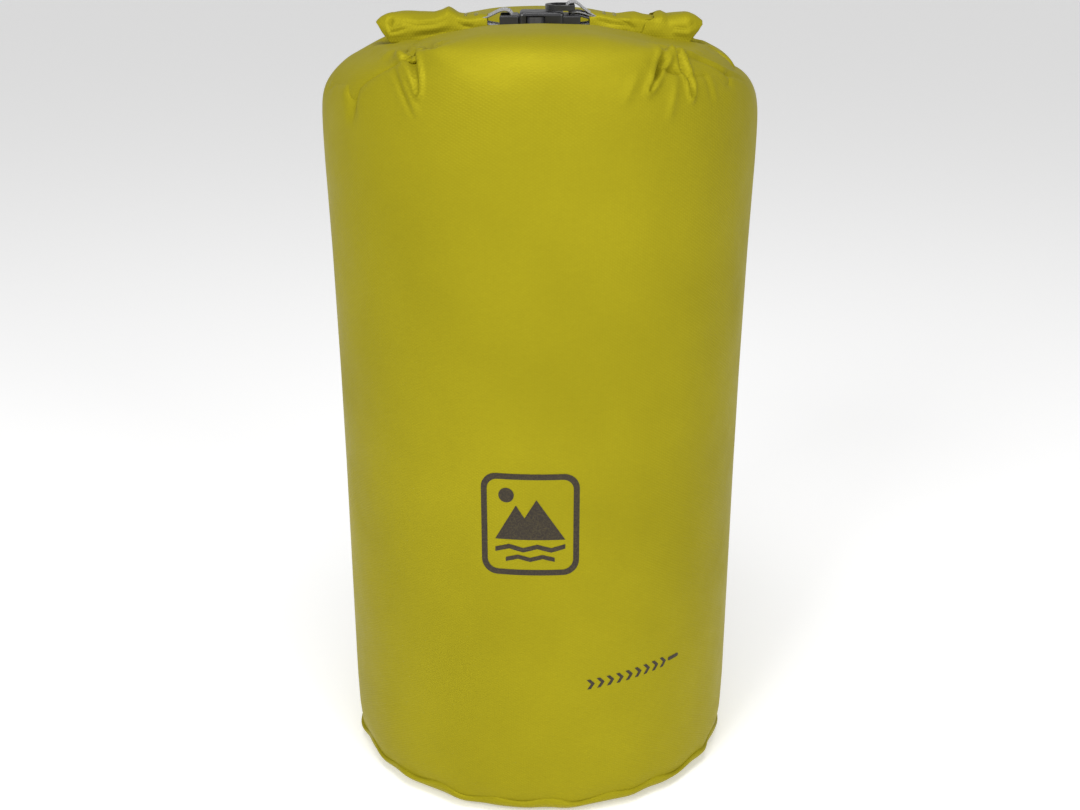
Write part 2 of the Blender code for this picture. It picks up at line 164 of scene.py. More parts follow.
def coated_nylon(name, shade=1.0):
    """Coated dobby nylon: a brick-like diamond weave 2 mm across in a thin glossy coating."""
    base = tuple(c * shade for c in (0.318, 0.276, 0.011))
    material, tree, shader = node_material(name, base, 0.43, metallic=0.2, specular=0.06)
    shader.inputs["Specular Tint"].default_value = (0.80, 0.72, 0.16, 1)
    g = Graph(tree)
    where = g.node("ShaderNodeTexCoord")
    uv, flat = where.outputs["UV"], where.outputs["Object"]
    split = g.node("ShaderNodeSeparateXYZ")
    g.link(uv, split.inputs[0])
    u, v = split.outputs[0], split.outputs[1]
    pitch = 1.9 * MM
    # two diagonal sets of ridges, crossing in small lozenges
    lean = g.math("MULTIPLY", v, 1.75)
    one = g.math("SINE", g.math("MULTIPLY", g.math("ADD", u, lean), TURN / pitch / 1.6))
    two = g.math("SINE", g.math("MULTIPLY", g.math("SUBTRACT", u, lean), TURN / pitch / 1.6))
    lozenge = g.math("MULTIPLY", g.math("ADD", one, 1.0), g.math("ADD", two, 1.0))
    thread = g.math("SINE", g.math("MULTIPLY", v, TURN / (0.55 * MM)))
    height = g.math("ADD", g.math("MULTIPLY", lozenge, 0.25), g.math("MULTIPLY", thread, 0.10))
    pebble = g.noise(flat, 900.0, 3.0, 0.6)
    height = g.math("ADD", height, g.math("MULTIPLY", pebble, 0.5))
    crumple = g.noise(flat, 60.0, 4.0, 0.55)
    soft = g.bump(crumple, 0.0009, 0.35)
    g.link(g.bump(height, 0.00011, 0.75, soft), shader.inputs["Normal"])
    patch = g.noise(flat, 9.0, 3.0, 0.55)
    dark = tuple(c * 0.90 for c in base)
    light = tuple(min(1.0, c * 1.08) for c in base)
    tone = g.ramp(patch, [(0.30, dark), (0.70, light)])
    fleck = g.range(g.noise(flat, 420.0, 2.0, 0.6), 0.3, 0.75, 0.0, 0.16)
    tone = g.mix(fleck, tone, (*tuple(c * 0.70 for c in base), 1))
    # painted shade: the base colour is darkened a little towards 0.78 of itself in the low parts of the weave
    weave_valley_shade = g.range(lozenge, 0.0, 3.0, 0.22, 0.0)
    tone = g.mix(weave_valley_shade, tone, (*tuple(c * 0.78 for c in base), 1))
    g.link(tone, shader.inputs["Base Color"])
    rough = g.range(g.noise(flat, 26.0, 3.0, 0.6), 0.3, 0.7, 0.38, 0.50)
    g.link(rough, shader.inputs["Roughness"])
    return material


def shaded_seam_fabric(name):
    """The same nylon, darkened as painted shade for the stitched and turned edges."""
    return coated_nylon(name, 0.82)


def webbing_material(name, colour, gloss):
    """Flat woven webbing: rows of diagonal yarns with a plain selvedge."""
    material, tree, shader = node_material(name, colour, gloss, specular=0.5, sheen=0.35, sheen_rough=0.35)
    g = Graph(tree)
    where = g.node("ShaderNodeTexCoord")
    uv, flat = where.outputs["UV"], where.outputs["Object"]
    split = g.node("ShaderNodeSeparateXYZ")
    g.link(uv, split.inputs[0])
    u, v = split.outputs[0], split.outputs[1]
    row = g.math("PINGPONG", v, 1.15 * MM)
    slant = g.math("SINE", g.math("MULTIPLY", g.math("ADD", u, g.math("MULTIPLY", row, 1.3)), TURN / (0.95 * MM)))
    ridge = g.math("SINE", g.math("MULTIPLY", v, TURN / (1.15 * MM)))
    fibre = g.noise(flat, 2600.0, 2.0, 0.6)
    height = g.math("ADD", g.math("MULTIPLY", slant, 0.35), g.math("MULTIPLY", ridge, 0.30))
    height = g.math("ADD", height, g.math("MULTIPLY", fibre, 0.35))
    g.link(g.bump(height, 0.00022, 0.9), shader.inputs["Normal"])
    # painted shade: the low parts of the weave are darkened towards 0.45 of the webbing colour
    dark = tuple(c * 0.45 for c in colour)
    tone = g.mix(g.range(height, -0.45, 0.85, 0.0, 1.0), (*dark, 1), (*colour, 1))
    g.link(tone, shader.inputs["Base Color"])
    return material


def moulded_plastic(name, colour, roughness=0.33):
    """Injection-moulded acetal: fine spark texture, its gloss varying a little, with a painted highlight that lightens
    its sharp convex edges.
    """
    material, tree, shader = node_material(name, colour, roughness, specular=0.5, coat=0.08, coat_rough=0.2)
    g = Graph(tree)
    flat = g.node("ShaderNodeTexCoord").outputs["Object"]
    grain = g.noise(flat, 2200.0, 3.0, 0.65)
    swirl = g.noise(flat, 140.0, 3.0, 0.5)
    height = g.math("ADD", g.math("MULTIPLY", grain, 0.6), g.math("MULTIPLY", swirl, 0.4))
    g.link(g.bump(height, 0.00012, 0.5), shader.inputs["Normal"])
    # painted highlight: convex edges (high pointiness) are lightened towards 2.6 times the plastic's colour
    edge_highlight_mask = g.node("ShaderNodeNewGeometry").outputs["Pointiness"]
    edge = g.range(edge_highlight_mask, 0.52, 0.62, 0.0, 0.5)
    painted_highlight_colour = tuple(min(1.0, c * 2.6 + 0.02) for c in colour)
    g.link(g.mix(edge, (*colour, 1), (*painted_highlight_colour, 1)), shader.inputs["Base Color"])
    g.link(g.range(swirl, 0.3, 0.7, roughness - 0.06, roughness + 0.10), shader.inputs["Roughness"])
    return material


def thread_material(name, colour):
    material, tree, shader = node_material(name, colour, 0.62, specular=0.4, sheen=0.3)
    g = Graph(tree)
    flat = g.node("ShaderNodeTexCoord").outputs["Object"]
    twist = g.noise(flat, 3200.0, 2.0, 0.5)
    g.link(g.bump(twist, 0.0001, 0.8), shader.inputs["Normal"])
    dark = tuple(c * 0.5 for c in colour)
    g.link(g.ramp(twist, [(0.35, dark), (0.65, colour)]), shader.inputs["Base Color"])
    return material


def print_material(name, colour):
    """Screen-print ink: slightly broken where the weave shows through."""
    material, tree, shader = node_material(name, colour, 0.55, specular=0.35)
    g = Graph(tree)
    flat = g.node("ShaderNodeTexCoord").outputs["Object"]
    speck = g.noise(flat, 1100.0, 3.0, 0.65)
    thin = tuple(c * 1.0 + d for c, d in zip(colour, (0.03, 0.025, 0.007)))
    g.link(g.ramp(speck, [(0.42, colour), (0.68, thin)]), shader.inputs["Base Color"])
    g.link(g.bump(speck, 0.00006, 0.6), shader.inputs["Normal"])
    g.link(g.range(speck, 0.3, 0.7, 0.48, 0.62), shader.inputs["Roughness"])
    return material


def tape_material(name):
    material, tree, shader = node_material(name, (0.60, 0.58, 0.40), 0.35, specular=0.5, coat=0.2)
    g = Graph(tree)
    flat = g.node("ShaderNodeTexCoord").outputs["Object"]
    ripple = g.noise(flat, 180.0, 3.0, 0.6)
    g.link(g.bump(ripple, 0.0003, 0.5), shader.inputs["Normal"])
    g.link(g.ramp(ripple, [(0.3, (0.52, 0.50, 0.33)), (0.7, (0.66, 0.64, 0.46))]), shader.inputs["Base Color"])
    return material


NYLON = coated_nylon("nylon_olive")
# painted shade: the hems get a copy of the nylon darkened to 0.82
NYLON_EDGE_SHADED = shaded_seam_fabric("nylon_olive_edges_painted_shade")
WEBBING = webbing_material("webbing_grey", (0.36, 0.36, 0.37), 0.38)
WEBBING_DARK = webbing_material("webbing_charcoal", (0.075, 0.075, 0.08), 0.5)
PLASTIC = moulded_plastic("acetal_black", (0.011, 0.011, 0.013))
PLASTIC_SOFT = moulded_plastic("acetal_charcoal", (0.018, 0.018, 0.021), 0.36)
THREAD_OLIVE = thread_material("thread_olive", (0.31, 0.27, 0.02))
INK = print_material("ink_brown", (0.020, 0.013, 0.007))
TAPE = tape_material("seam_tape_clear")

# ------------------------------------------------------------------ mesh helpers


def new_mesh(name, points, faces, material, uv=None, smooth=True):
    mesh = bpy.data.meshes.new(name)
    mesh.from_pydata([tuple(map(float, q)) for q in points], [], faces)
    if uv is not None:
        layer = mesh.uv_layers.new(name="UVMap")
        for loop in mesh.loops:
            layer.data[loop.index].uv = uv[loop.vertex_index]
    if smooth:
        mesh.shade_smooth()
    mesh.materials.append(material)
    obj = bpy.data.objects.new(name, mesh)
    scene.collection.objects.link(obj)
    return obj


def grid_faces(rows, columns, closed):
    faces = []
    for r in range(rows - 1):
        for c in range(columns if closed else columns - 1):
            d = (c + 1) % columns
            faces.append((r * columns + c, r * columns + d, (r + 1) * columns + d, (r + 1) * columns + c))
    return faces


def grid_uv(mesh, rows, columns, width, height):
    """UVs in metres for a closed grid, with the last column of faces reaching round to the full width."""
    layer = mesh.uv_layers.new(name="UVMap")
    for poly in mesh.polygons:
        cols = [mesh.loops[i].vertex_index % columns for i in poly.loop_indices]
        wrap = max(cols) - min(cols) > columns / 2
        for i in poly.loop_indices:
            k = mesh.loops[i].vertex_index
            r, c = divmod(k, columns)
            if wrap and c == 0:
                c = columns
            layer.data[i].uv = (width * c / columns, height * r / (rows - 1))


def subdivided(obj, levels=1):
    modifier = obj.modifiers.new("smooth", "SUBSURF")
    modifier.levels = modifier.render_levels = levels
    return obj


def apply_modifiers(obj):
    bpy.context.view_layer.update()
    evaluated = obj.evaluated_get(bpy.context.evaluated_depsgraph_get())
    mesh = bpy.data.meshes.new_from_object(evaluated)
    old = obj.data
    obj.modifiers.clear()
    obj.data = mesh
    bpy.data.meshes.remove(old)
    return obj


def smooth_path(path, spacing):
    """A Catmull-Rom curve through path, sampled evenly."""
    p = np.array(path, float)
    p = np.vstack([2 * p[0] - p[1], p, 2 * p[-1] - p[-2]])
    fine = []
    for k in range(1, len(p) - 2):
        a, b, c, d = p[k - 1 : k + 3]
        for t in np.linspace(0, 1, 24, endpoint=False):
            square, cube = 2 * a - 5 * b + 4 * c - d, 3 * b - a - 3 * c + d
            fine.append(0.5 * (2 * b + (c - a) * t + square * t**2 + cube * t**3))
    fine = np.array(fine + [p[-2]])
    run = np.concatenate([[0], np.cumsum(np.linalg.norm(np.diff(fine, axis=0), axis=1))])
    count = max(8, int(run[-1] / spacing))
    even = np.linspace(0, run[-1], count)
    return np.column_stack([np.interp(even, run, fine[:, k]) for k in range(fine.shape[1])]), even


def smooth_noise(seed, shape, passes, wrap=True):
    field = np.random.default_rng(seed).normal(size=shape)
    for _ in range(passes):
        field = (field + np.roll(field, 1, 1) + np.roll(field, -1, 1)) / 3
        field[1:-1] = (field[2:] + field[:-2] + field[1:-1]) / 3
    return field / (np.abs(field).max() + 1e-9)


# ------------------------------------------------------------------ the sack: a cloth tube, blown out and gathered

# The filled sack's radius by height, in mm: the wall, and the shoulder as it shows at the sides.
OUTLINE = [
    (0, 119.0), (10.5, 119.6), (20, 120.8), (43, 121.6), (108, 122.2), (190, 122.9), (251, 123.8), (327, 125.6),
    (363, 126.9), (381, 127.6), (399, 128.0), (413, 128.0), (420, 127.2), (424, 126.5), (427, 124.9), (430, 122.4),
    (434, 119.7), (437, 117.0), (440, 112.0), (443, 105.5), (446, 97.0), (500, 97.0),
]
WALL_POINTS = 11
HEIGHTS = np.array([z for z, _ in OUTLINE]) * MM
RADII = np.array([r for _, r in OUTLINE]) * MM
# How high the top of the sack lies beside the roll, by distance from the middle, in mm.
LID = [(0, 461.0), (30, 459.8), (40, 457.4), (55, 454.6), (66, 451.8), (85, 449.0), (96, 447.8), (130, 447.4)]
LID_X = np.array([x for x, _ in LID]) * MM
LID_Z = np.array([z for _, z in LID]) * MM


def outline_limit(q):
    """Keeps the cloth inside the filled sack's outline and under the lie of its top."""
    x, y, z = q[..., 0], q[..., 1], q[..., 2]
    r = np.sqrt(x * x + y * y) + 1e-12
    wall = np.interp(z, HEIGHTS[:WALL_POINTS], RADII[:WALL_POINTS])
    side = np.interp(z, HEIGHTS, RADII)
    limit = wall + (side - wall) * (x / r) ** 2
    scale = np.minimum(1.0, limit / r)
    q[..., 0] = x * scale
    q[..., 1] = y * scale
    x, y = np.abs(q[..., 0]), np.abs(q[..., 1])
    lid = np.interp(x, LID_X, LID_Z)
    trench = 444.8 * MM + np.maximum(0, np.maximum((y - 15.2 * MM) * 3.0, (x - 92 * MM) * 0.6))
    q[..., 2] = np.minimum(z, np.minimum(lid, trench))


def thread_sets(columns, rows, dc, dr):
    """Index sets for the threads from each point to the one dc columns and dr rows on, no point twice in a set."""
    sets = []
    if dr == 0:
        for k in range(2 * dc):
            c = np.array([i for i in range(columns) if (i // dc) % 2 == k // dc and i % dc == k % dc])
            sets.append((np.ix_(np.arange(rows), c), np.ix_(np.arange(rows), (c + dc) % columns)))
        return sets
    for k in range(2 * dr):
        r = np.array([i for i in range(rows - dr) if (i // dr) % 2 == k // dr and i % dr == k % dr])
        c = np.arange(columns)
        sets.append((np.ix_(r, c), np.ix_(r + dr, (c + dc) % columns)))
    return sets


def pull(points, free, i, j, rest, stiff, only_short=False):
    """Moves the two ends of each thread towards its rest length."""
    a, b = points[i], points[j]
    d = b - a
    length = np.sqrt((d * d).sum(-1)) + 1e-12
    error = length - rest
    if only_short:
        error = np.minimum(error, 0)
    fa, fb = free[i], free[j]
    total = np.where(fa + fb > 0, fa + fb, 1)
    move = (stiff * error / length / total)[..., None] * d
    points[i] = a + move * fa[..., None]
    points[j] = b - move * fb[..., None]


RUN_HALF = 87.0 * MM
CAP = 17.0 * MM
MOUTH_HALF = 201.0 * MM
NECK_Z = 444.2 * MM


def neck_row(azimuth, share):
    """Where the cloth meets the roll: open at share 0; at 1 flat, with its spare width gathered to the ends."""
    from_side = np.abs(((azimuth + math.pi / 2) % math.pi) - math.pi / 2)
    t = np.clip(1 - from_side / (math.pi / 2), 0, 1)
    total = RUN_HALF + CAP
    along = total * (1 - (1 - t) ** (MOUTH_HALF / total))
    round_end = np.clip((along - RUN_HALF) / CAP, 0, 1) * math.pi / 2
    x = np.where(along < RUN_HALF, along, RUN_HALF + 9.3 * MM * np.sin(round_end))
    y = 4.5 * MM * np.cos(round_end)
    z = np.full_like(x, NECK_Z)
    shut = np.stack([np.sign(np.cos(azimuth)) * x, np.sign(np.sin(azimuth)) * y, z], 1)
    agape = np.stack([0.115 * np.cos(azimuth), 0.09 * np.sin(azimuth), z], 1)
    ease = share * share * (3 - 2 * share)
    return agape * (1 - ease) + shut * ease


def seam_row(azimuth):
    """The base seam: drawn in and puckered by its stitching."""
    wave = 0.62 * np.sin(21 * azimuth + 0.6) + 0.38 * np.sin(13 * azimuth + 2.0) + 0.30 * np.sin(34 * azimuth)
    lift = 0.75 * np.sin(21 * azimuth + 1.9) + 0.45 * np.sin(11 * azimuth + 0.3)
    r = (119.0 + 0.75 * wave) * MM
    return np.stack([r * np.cos(azimuth), r * np.sin(azimuth), SEAM_Z + 1.7 * MM * lift], 1)


# Where the shoulder's folds start: azimuth from +X in degrees, half-width in degrees, depth in mm, height in mm.
FOLDS = [
    (237.0, 5.0, 9.6, 413), (211.0, 6.0, 11.2, 414), (196.0, 5.0, 4.8, 425),
    (301.0, 5.0, 6.4, 412), (314.0, 4.5, 9.6, 412), (338.0, 6.0, 6.4, 424),
    (33.0, 6.0, 8.0, 412), (62.0, 5.0, 8.0, 408), (121.0, 5.0, 8.0, 410), (150.0, 6.0, 9.6, 414),
]


def relax(columns, rows, steps, rounds, length, pressure, stiffness, start=None):
    azimuth = TURN * (np.arange(columns) + 0.5) / columns
    along = np.linspace(0, length, rows)
    radius = np.interp(along + SEAM_Z, HEIGHTS[:WALL_POINTS], RADII[:WALL_POINTS])
    hoop = (TURN * radius / columns)[:, None]
    step_up = length / (rows - 1)
    if start is None:
        top = neck_row(azimuth, 0.0)
        points = np.zeros((rows, columns, 3))
        turn_in = (386 + 30 * np.cos(azimuth) ** 2) * MM
        for r in range(rows):
            z = SEAM_Z + along[r]
            wall = np.stack([radius[r] * np.cos(azimuth), radius[r] * np.sin(azimuth), np.full(columns, z)], 1)
            f = np.clip((z - turn_in) / (length + SEAM_Z - turn_in), 0, 1) * math.pi / 2
            wall[:, 2] = np.minimum(z, turn_in)
            points[r, :, :2] = wall[:, :2] * np.cos(f)[:, None] + top[:, :2] * (1 - np.cos(f))[:, None]
            points[r, :, 2] = wall[:, 2] + (top[:, 2] - wall[:, 2]) * np.sin(f)
        out = points[..., :2] / np.linalg.norm(points[..., :2], axis=2, keepdims=True)
        dent = smooth_noise(7, (rows, columns), 3) * 0.8 * MM
        degrees = np.degrees(azimuth)[None, :]
        for middle, width, depth, height in FOLDS:
            away = (degrees - middle + 180) % 360 - 180
            reach = np.exp(-(((points[..., 2] / MM - height) / 22.0) ** 2))
            dent = dent - depth * MM * np.exp(-((away / width) ** 2)) * reach
        points[..., :2] += out * dent[..., None]
        points[0] = seam_row(azimuth)
    else:
        points = start.copy()
    free = np.ones((rows, columns))
    free[0] = free[-1] = 0
    hoops, ups = thread_sets(columns, rows, 1, 0), thread_sets(columns, rows, 0, 1)
    slants = thread_sets(columns, rows, 1, 1) + thread_sets(columns, rows, -1, 1)
    wide_hoops, wide_ups = thread_sets(columns, rows, 2, 0), thread_sets(columns, rows, 0, 2)
    velocity = np.zeros_like(points)
    dt = 1 / 60
    for step in range(steps):
        share = 1.0 if start is not None else min(1.0, step / (steps * 0.45))
        up = np.gradient(points, axis=0)
        across = (np.roll(points, -1, 1) - np.roll(points, 1, 1)) / 2
        push = np.cross(across, up) / (hoop * step_up)[..., None]
        velocity += dt * pressure * push
        velocity[..., 2] -= dt * 0.3
        velocity *= 0.93
        moved = points + dt * velocity
        moved[0] = points[0]
        moved[-1] = neck_row(azimuth, share)
        for turn in range(rounds):
            for i, j in hoops:
                pull(moved, free, i, j, hoop, 1.0)
            for i, j in ups:
                pull(moved, free, i, j, step_up, 1.0)
            if turn % 2 == 0:
                for i, j in slants:
                    pull(moved, free, i, j, np.sqrt(hoop[i[0][:, 0]] ** 2 + step_up**2), 0.35)
            if turn % 3 == 0:
                for i, j in wide_hoops:
                    pull(moved, free, i, j, 2 * hoop, stiffness, only_short=True)
                for i, j in wide_ups:
                    pull(moved, free, i, j, 2 * step_up, stiffness, only_short=True)
            outline_limit(moved[1:-1])
        velocity = (moved - points) / dt
        speed = np.linalg.norm(velocity, axis=2, keepdims=True)
        velocity *= np.minimum(1, 1.5 / (speed + 1e-9))
        points = moved
    return points


LENGTH = 0.556  # of the wall, from the base seam to the roll
SHOULDER_RADIUS = 0.128
cloth = relax(144, 100, 150, 12, LENGTH, 4.5, 0.10)

rows, columns, _ = cloth.shape
sack = new_mesh("sack_wall", cloth.reshape(-1, 3), grid_faces(rows, columns, True), NYLON)
grid_uv(sack.data, rows, columns, TURN * SHOULDER_RADIUS, LENGTH)
subdivided(sack, 2)
apply_modifiers(sack)
sack.data.shade_smooth()


def coordinates(obj):
    flat = np.empty(len(obj.data.vertices) * 3)
    obj.data.vertices.foreach_get("co", flat)
    return flat.reshape(-1, 3)


def set_coordinates(obj, points):
    obj.data.vertices.foreach_set("co", np.asarray(points, dtype=float).ravel())
    obj.data.update()


def vertex_normals(obj):
    flat = np.empty(len(obj.data.vertices) * 3)
    obj.data.vertex_normals.foreach_get("vector", flat)
    return flat.reshape(-1, 3)


def nearest(points, normals, path):
    """For each point: how far it is from the path, on which side, and how far along it."""
    path = np.array(path, float) * MM
    starts, ends = path[:-1], path[1:]
    lengths = np.linalg.norm(ends - starts, axis=1)
    before = np.concatenate([[0], np.cumsum(lengths)])
    best = np.full(len(points), 1e9)
    side = np.zeros(len(points))
    along = np.zeros(len(points))
    for k in range(len(starts)):
        d = (ends[k] - starts[k]) / lengths[k]
        t = np.clip((points - starts[k]) @ d, 0, lengths[k])
        gap = points - starts[k] - t[:, None] * d
        away = np.linalg.norm(gap, axis=1)
        which = np.einsum("ij,ij->i", np.cross(np.broadcast_to(d, normals.shape), gap), normals)
        near = away < best
        best = np.where(near, away, best)
        side = np.where(near, np.sign(which), side)
        along = np.where(near, before[k] + t, along)
    return best / MM, side, along / before[-1]


def crease(points, normals, path, width, valley, ridge):
    """A pinched line: a sharp valley, with a soft ridge beside it that is fuller on the left. Its two ends fade out."""
    away, side, share = nearest(points, normals, path)
    away, side = away / width, side
    shape = -valley * np.exp(-((away / 0.8) ** 1.3))
    shape += ridge * np.where(side > 0, 1.0, 0.35) * np.exp(-(((away - 1.6) / 1.1) ** 2))
    return shape * MM * np.sin(share * math.pi) ** 0.6 * np.exp(-((away / 5) ** 2))


def pleat(points, normals, path, width, valley, ridge):
    """A dart: a valley that narrows from the start of the path to its tip, between two ridges that meet there."""
    away, side, share = nearest(points, normals, path)
    half = width * (1 - share) ** 0.7 + 1.0
    start = np.clip(share / 0.12, 0, 1)
    shape = -valley * (1 - share) ** 0.45 * np.exp(-((away / (0.7 * half)) ** 2))
    shape += ridge * np.exp(-(((away - half) / (0.3 * half + 0.7)) ** 2))
    return shape * MM * (0.25 + 0.75 * start)


def sculpt(obj, creases):
    points, normals = coordinates(obj), vertex_normals(obj)
    shift = sum(kind(points, normals, *rest) for kind, *rest in creases)
    set_coordinates(obj, points + normals * shift[:, None])


# The creases that the photograph shows on the shoulder: kind, path in mm, width, valley, ridge.
CREASES = [
    (pleat, [(-69, -80, 452), (-66.4, -98, 445.7), (-64.4, -106, 438.4), (-62.8, -110, 430)], 5.5, 5.0, 2.2),
    (crease, [(-78, -90, 443), (-73.9, -99.7, 435.6), (-70.5, -105, 428.5), (-65, -110, 417)], 1.9, 1.0, 1.7),
    (pleat, [(-52, -86, 456), (-52, -93, 452), (-52, -97, 449)], 3.0, 2.4, 0.9),
    (pleat, [(64, -84, 453), (63, -98, 447.5), (60.5, -105, 441), (56, -114, 432)], 4.4, 4.6, 2.2),
    (pleat, [(69, -82, 452), (75, -91, 443.5), (79, -95, 436), (80, -98, 427)], 4.6, 4.4, 2.2),
    (crease, [(75, -84, 450), (86, -73, 444), (101, -64, 436), (117, -37, 428)], 2.0, 1.8, 1.6),
    (crease, [(51, -112, 443), (46, -118, 433), (42, -120, 425)], 3.4, -1.3, 0.0),
    (crease, [(71, -99, 440), (70, -105, 430), (67, -109, 416)], 3.0, -1.4, 0.0),
    (crease, [(87, -82, 439), (92, -87, 423)], 2.4, 1.0, 0.5),
    (pleat, [(76, 60, 450), (88, 72, 444), (97, 78, 436), (101, 80, 428)], 5.0, 4.0, 1.8),
    (pleat, [(-62, 84, 452), (-66, 98, 446), (-64, 106, 438), (-60, 112, 428)], 5.0, 4.6, 2.0),
    (crease, [(-80, 70, 448), (-96, 72, 441), (-110, 60, 433)], 2.4, 1.8, 1.4),
    (crease, [(56, 92, 451), (54, 104, 444), (49, 115, 430)], 2.4, 1.4, 1.6),
]


sculpt(sack, CREASES)
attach(sack, "bag")
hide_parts("body_panel")

# ------------------------------------------------------------------ the base


def base_cover():
    """The round base: flat where it stands, then up and out over its puckered seam."""
    count = 384
    azimuth = TURN * (np.arange(count) + 0.5) / count
    seam = seam_row(azimuth)
    edge = np.hypot(seam[:, 0], seam[:, 1])
    out = seam[:, :2] / edge[:, None]
    swell = 1 + 0.35 * np.sin(21 * azimuth - 0.5) + 0.25 * np.sin(8 * azimuth + 1.1)
    profile = [
        (-2.4, 1.06), (-0.9, 1.02), (0.3, 0.96), (0.9, 0.86), (0.7, 0.70), (-0.5, 0.52), (-2.6, 0.34), (-5.4, 0.19),
        (-9.0, 0.08), (-13.0, 0.02), (-17.0, 0.0),
    ]
    profile, _ = smooth_path([(a, b * 10) for a, b in profile], 0.7)
    grid = []
    for dr, share in profile * [1, 0.1]:
        bulge = dr * MM * (np.where(dr > 0, swell, 1.0))
        r = edge + bulge
        grid.append(np.column_stack([out * r[:, None], seam[:, 2] * share]))
    for r in (96, 78, 58, 38, 18, 5):
        grid.append(np.column_stack([out * r * MM, np.zeros(count)]))
    cloth = np.array(grid)
    points = list(cloth.reshape(-1, 3)) + [np.zeros(3)]
    last = (len(grid) - 1) * count
    faces = [f[::-1] for f in grid_faces(len(grid), count, True)]
    faces += [(last + c, len(points) - 1, last + (c + 1) % count) for c in range(count)]
    uv = [(p[0], p[1] + p[2]) for p in points]
    return new_mesh("base_cover", points, faces, NYLON, uv)


base = base_cover()
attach(base, "bag")
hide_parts("base_panel", "base_seam_allowance")

# ------------------------------------------------------------------ the roll and its two folded arms


def flat_oval(x, middle, half_y, half_z, count, seed):
    """One section of the wound roll, with the edge of each wound layer showing as a line on its two sides."""
    turn = TURN * np.arange(count) / count
    c, s = np.cos(turn), np.sin(turn)
    y = half_y * np.sign(c) * np.abs(c) ** 0.55
    z = half_z * np.sign(s) * np.abs(s) ** 0.8
    layers = 0.22 * MM * np.cos(z / half_z * 3.2 * math.pi) * np.abs(c) ** 2
    y = y + np.sign(c) * layers
    return np.column_stack([np.full(count, x), y, middle + z])


def roll_run():
    half = 78.3 * MM
    stations = np.linspace(-half, half, 90)
    count = 72
    crumple = smooth_noise(11, (len(stations), count), 3)
    rings = []
    for k, x in enumerate(stations):
        ring = flat_oval(x, LOWER_Z, 13.1 * MM, 3.75 * MM, count, k)
        centre = np.array([x, 0, LOWER_Z])
        out = ring - centre
        out /= np.linalg.norm(out, axis=1)[:, None] + 1e-9
        rings.append(ring + out * (crumple[k] * 0.45 * MM)[:, None])
    points = list(np.array(rings).reshape(-1, 3))
    faces = grid_faces(len(rings), count, True)
    points += [np.array([-half, 0, LOWER_Z]), np.array([half, 0, LOWER_Z])]
    first, last = len(points) - 2, (len(rings) - 1) * count
    faces += [(c, first, (c + 1) % count) for c in range(count)]
    faces += [(last + (c + 1) % count, len(points) - 1, last + c) for c in range(count)]
    uv = [(p[1] + p[2], p[0]) for p in points]
    return new_mesh("roll_run", points, faces, NYLON, uv)


run = subdivided(roll_run(), 1)
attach(run, "bag")
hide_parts("rolled_mouth")

# Each arm's outline in mm: distance from the middle, ridge height, lowest edge, half width.
ARMS = {
    "left": [
        (30.5, 462.9, 456.0, 10.9), (34.3, 463.3, 455.8, 11.5), (41.8, 462.7, 453.6, 12.6), (47.0, 463.5, 451.6, 13.2),
        (51.0, 465.7, 450.0, 13.5), (53.2, 466.6, 449.2, 13.6), (56.7, 465.2, 448.4, 13.8), (61.3, 463.9, 447.6, 14.0),
        (70.0, 463.6, 446.9, 14.3), (80.0, 463.8, 446.5, 14.2), (86.4, 463.6, 446.8, 13.4), (88.7, 463.0, 450.0, 12.0),
        (92.2, 461.3, 454.6, 9.8), (94.2, 459.6, 457.4, 8.0), (94.9, 458.8, 458.2, 7.0),
    ],
    "right": [
        (28.6, 464.0, 456.2, 10.8), (34.3, 464.1, 455.4, 11.6), (44.0, 462.7, 453.3, 12.7), (51.0, 463.6, 451.4, 13.2),
        (55.0, 463.9, 450.0, 13.5), (60.0, 462.8, 448.4, 13.7), (66.0, 461.9, 447.0, 13.9), (68.2, 462.5, 446.6, 14.0),
        (70.0, 462.8, 446.4, 14.0), (73.4, 461.2, 446.0, 14.0), (78.0, 461.8, 445.7, 13.9), (84.0, 462.5, 445.6, 13.4),
        (86.0, 462.3, 447.6, 12.8), (89.5, 460.9, 452.0, 10.6), (92.6, 458.9, 456.0, 8.2), (93.6, 458.0, 457.0, 7.0),
    ],
}
ARM_COUNT = 76


def arm_section(side, x, grow=0.0):
    """The outer skin of one arm at distance x (mm), from its front lower edge over the top to the back one."""
    table = np.array(ARMS[side])
    top, low, half = (np.interp(x, table[:, 0], table[:, k]) for k in (1, 2, 3))
    turn = math.pi * np.arange(ARM_COUNT) / (ARM_COUNT - 1)
    c, s = np.cos(turn), np.sin(turn)
    y = -(half + grow) * np.sign(c) * np.abs(c) ** 0.62
    z = low + (top + grow - low) * np.abs(s) ** 0.72
    return y, z, top, low, half


